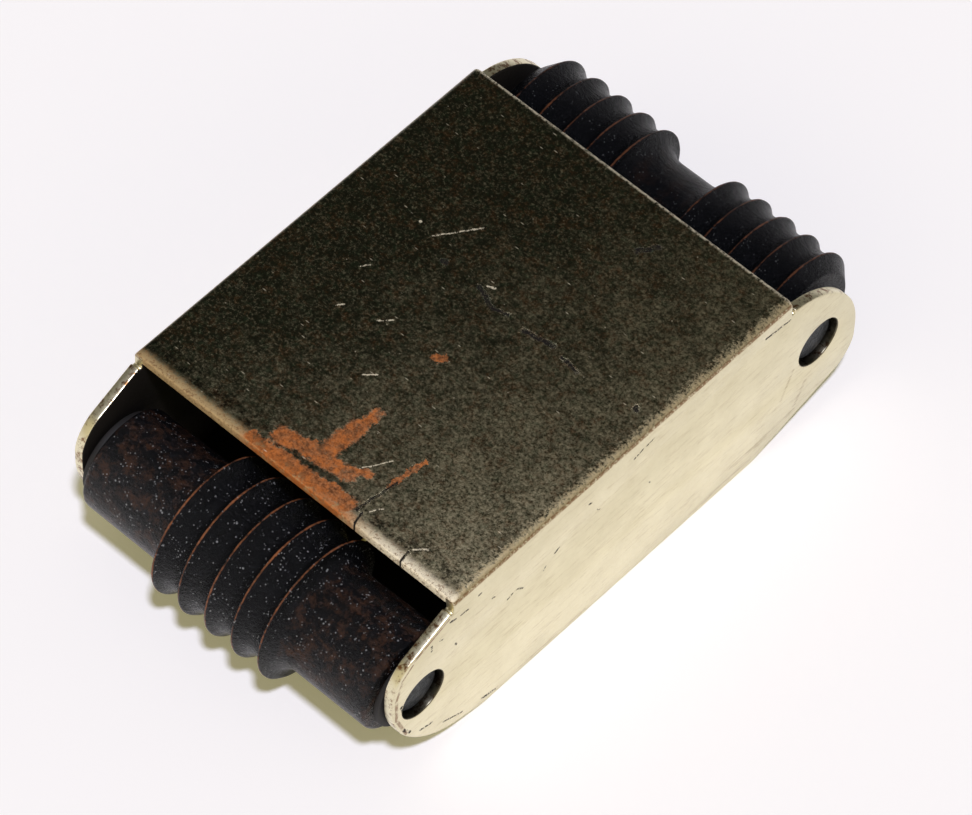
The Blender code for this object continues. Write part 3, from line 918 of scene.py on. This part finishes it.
bend_line = times(
    tree, soft_step(tree, upward, plate_top - 0.5, plate_top - 0.38),
    soft_step(tree, upward, plate_top - 0.1, plate_top - 0.2))
bend_line = times(tree, bend_line, soft_step(tree, grain, 0.3, 0.55))
side_colour = blend(tree, times(tree, bend_line, 0.85), side_colour, LINE_BROWN)
from_top = soft_step(tree, upward, plate_top - 0.24, plate_top - 0.12)
outer_colour = blend(tree, from_top, side_colour, top_colour)

turned = step(tree, "SeparateXYZ", {"Vector": step(tree, "TexCoord").outputs["Normal"]}).outputs["X"]
rim = soft_step(tree, sum_of(tree, "ABSOLUTE", turned), 0.85, 0.5)
beyond_top = most(
    tree, soft_step(tree, forward, plate_front - 0.1, plate_front - 0.4),
    soft_step(tree, forward, plate_rear + 0.1, plate_rear + 0.4))
rim = times(tree, rim, beyond_top)
rim_colour = blend(tree, soft_step(tree, mottle, 0.38, 0.52), LINE_BROWN, BARE_LOWER)
outer_colour = blend(tree, rim, outer_colour, rim_colour)
# The walls of the axle holes are painted nearly black: painted shade in the recesses.
painted_hole_shade = None
for place_of_axle in axle_place.values():
    from_axle = step(tree, "VectorMath", {0: upright, 1: place_of_axle / MM}, operation="DISTANCE")
    painted_bore_shade = sum_of(tree, "LESS_THAN", from_axle.outputs["Value"], HOLE_RADIUS / MM + 0.06)
    painted_hole_shade = painted_bore_shade if painted_hole_shade is None else most(tree, painted_hole_shade, painted_bore_shade)
outer_colour = blend(tree, times(tree, painted_hole_shade, 0.85), outer_colour, GRIME_AND_PAINTED_SHADE)

# %% Cut front edge, the inside, and how shiny each part is
GRAIN_DEPTH = 0.035 * MM
GRAIN_STRENGTH = 0.7
NICKEL_SPECULAR = 0.15

on_cut = soft_step(tree, forward, plate_front + 0.1, plate_front + 0.03)
on_cut = times(tree, on_cut, soft_step(tree, forward, plate_front - 0.5, plate_front - 0.3))
on_cut = times(tree, on_cut, sum_of(tree, "LESS_THAN", sum_of(tree, "ABSOLUTE", across), inner_half / MM))
outer_colour = blend(tree, on_cut, outer_colour, edge_colour)

# The inside of the tube is painted nearly black: painted shade of the closed case.
inside_painted_shade = sum_of(tree, "LESS_THAN", sum_of(tree, "ABSOLUTE", across), inner_half / MM + 0.08)
inside_painted_shade = times(tree, inside_painted_shade, sum_of(tree, "LESS_THAN", upward, plate_top - SHEET / MM + 0.08))
inside_painted_shade = times(tree, inside_painted_shade, sum_of(tree, "GREATER_THAN", upward, SHEET / MM - 0.08))
metal = blend(tree, inside_painted_shade, outer_colour, GRIME_AND_PAINTED_SHADE)
tree.links.new(metal, shader.inputs["Base Color"])

dull = most(tree, most(tree, rust, dark_marks), most(tree, inside_painted_shade, pits))
worn = most(tree, front_wear, times(tree, most(tree, times(tree, rear_edge_highlight, breaks), right_bend_wear_and_reflection), 0.6))
worn = most(tree, worn, bright)
dull = most(tree, dull, times(tree, worn, from_top))
dull = most(tree, dull, times(tree, on_cut, 0.8))
shiny = sum_of(tree, "SUBTRACT", 1.0, times(tree, dull, 0.85))
tree.links.new(shiny, shader.inputs["Metallic"])
roughness = sum_of(tree, "ADD", times(tree, grain, 0.4), 0.16)
tree.links.new(sum_of(tree, "ADD", roughness, times(tree, dull, 0.3)), shader.inputs["Roughness"])
height = sum_of(tree, "SUBTRACT", times(tree, grain, on_top), most(tree, pits, dark_marks))
relief_bump(tree, shader, height, GRAIN_DEPTH, GRAIN_STRENGTH)
shader.inputs["Specular IOR Level"].default_value = NICKEL_SPECULAR
case.data.materials.append(nickel)
print("nickel recipe", len(tree.nodes), "nodes")

# %% [markdown]
# ### Hard rubber
#
# The rollers are black with a grainy skin and pale flecks in patches, partly dust and partly
# painted glints of the lamp on the grainy skin.  The plain parts have browned here and there,
# and the rib crests are rubbed to a thin copper brown line.  The crests are found by their
# distance from the axle.

# %% Rubber
RUBBER_BLACK = (0.0028, 0.0032, 0.004)
RUBBER_BROWN = (0.055, 0.024, 0.012)
CREST_COPPER = (0.34, 0.12, 0.045)
CREST_BROWN = (0.12, 0.045, 0.02)
# Pale grey for the flecks: dust, and painted glints of the lamp.
DUST_AND_GLINT_GREY = (0.36, 0.37, 0.36)
SKIN_DEPTH = 0.3 * MM
SKIN_STRENGTH = 0.9


def rubber_finish(name, axle, barrel, browning, shine, dust_and_glints, crest_colour):
    """Black hard rubber, browned on the barrel and copper brown on the crests."""
    finish, tree, shader, place = new_finish(name)
    from_axle = step(tree, "VectorMath", {0: place, 1: axle / MM}, operation="SUBTRACT")
    ring = step(
        tree, "VectorMath", {0: from_axle.outputs["Vector"], 1: (0.0, 1.0, 1.0)}, operation="MULTIPLY")
    radius = step(tree, "VectorMath", {0: ring.outputs["Vector"]}, operation="LENGTH").outputs["Value"]
    cloud = clouds(tree, place, 0.9, 7.0, 0.75)
    fine = clouds(tree, place, 3.2, 5.0, 0.7)
    plain = soft_step(tree, radius, barrel / MM + 0.5, barrel / MM + 0.1)
    browned = times(tree, times(tree, soft_step(tree, cloud, 0.44, 0.68), plain), browning)
    colour = blend(tree, browned, RUBBER_BLACK, RUBBER_BROWN)
    worn = sum_of(tree, "ADD", radius, times(tree, fine, 0.1))
    crest_line = soft_step(tree, worn, RIB_RADIUS / MM + 0.01, RIB_RADIUS / MM + 0.07)
    colour = blend(tree, crest_line, colour, crest_colour)
    # Pale flecks in patches: partly dust, partly painted glints that stand for the lamp glinting on the
    # grainy skin.
    dust_and_glint_patches = soft_step(tree, clouds(tree, place, 1.3, 3.0, 0.6, (5.0, 3.0, 1.0)), 0.48, 0.6)
    dust_and_painted_glints = most(tree, flecks(tree, place, 2.4, 0.26, 0.7), flecks(tree, place, 4.0, 0.3, 0.6))
    dust_and_painted_glints = times(tree, times(tree, dust_and_painted_glints, dust_and_glint_patches), dust_and_glints)
    colour = blend(tree, dust_and_painted_glints, colour, DUST_AND_GLINT_GREY)
    tree.links.new(colour, shader.inputs["Base Color"])
    roughness = sum_of(tree, "ADD", times(tree, fine, 0.25), 0.1)
    tree.links.new(roughness, shader.inputs["Roughness"])
    shader.inputs["Specular IOR Level"].default_value = shine
    relief_bump(tree, shader, fine, SKIN_DEPTH, SKIN_STRENGTH)
    return finish


front_rubber = rubber_finish(
    "front rubber", axle_place["front_roller"], FRONT_BARREL,
    browning=0.9, shine=0.2, dust_and_glints=0.75, crest_colour=CREST_COPPER)
rear_rubber = rubber_finish(
    "rear rubber", axle_place["rear_roller"], REAR_BARREL,
    browning=0.15, shine=0.08, dust_and_glints=0.12, crest_colour=CREST_BROWN)
front_sleeve.data.materials.append(front_rubber)
rear_sleeve.data.materials.append(rear_rubber)

# %% [markdown]
# ### Dark steel and black fibre
#
# The axle ends are blackened steel, dull and slightly pitted.  The washers are dull
# black fibre, and only their rims show in the gaps at the roller ends.

# %% Steel and fibre
STEEL_DARK = (0.015, 0.018, 0.02)
STEEL_LIGHT = (0.09, 0.095, 0.10)
STEEL_PIT_DEPTH = 0.12 * MM
FIBRE_BLACK = (0.004, 0.004, 0.004)
FIBRE_BROWN = (0.02, 0.017, 0.014)
FIBRE_GRAIN_DEPTH = 0.04 * MM

steel, tree, shader, place = new_finish("dark steel")
tone = clouds(tree, place, 3.0, 6.0, 0.75)
colour = blend(tree, soft_step(tree, tone, 0.35, 0.7), STEEL_DARK, STEEL_LIGHT)
tree.links.new(colour, shader.inputs["Base Color"])
shader.inputs["Metallic"].default_value = 0.9
shader.inputs["Roughness"].default_value = 0.5
relief_bump(tree, shader, tone, STEEL_PIT_DEPTH, 0.8)
for pin in pins:
    pin.data.materials.append(steel)

fibre, tree, shader, place = new_finish("black fibre")
tone = clouds(tree, place, 6.0, 5.0, 0.7)
colour = blend(tree, tone, FIBRE_BLACK, FIBRE_BROWN)
tree.links.new(colour, shader.inputs["Base Color"])
shader.inputs["Roughness"].default_value = 0.7
relief_bump(tree, shader, tone, FIBRE_GRAIN_DEPTH, 0.6)
for washer in washers:
    washer.data.materials.append(fibre)
print("finishes on", len(bpy.data.materials), "materials")
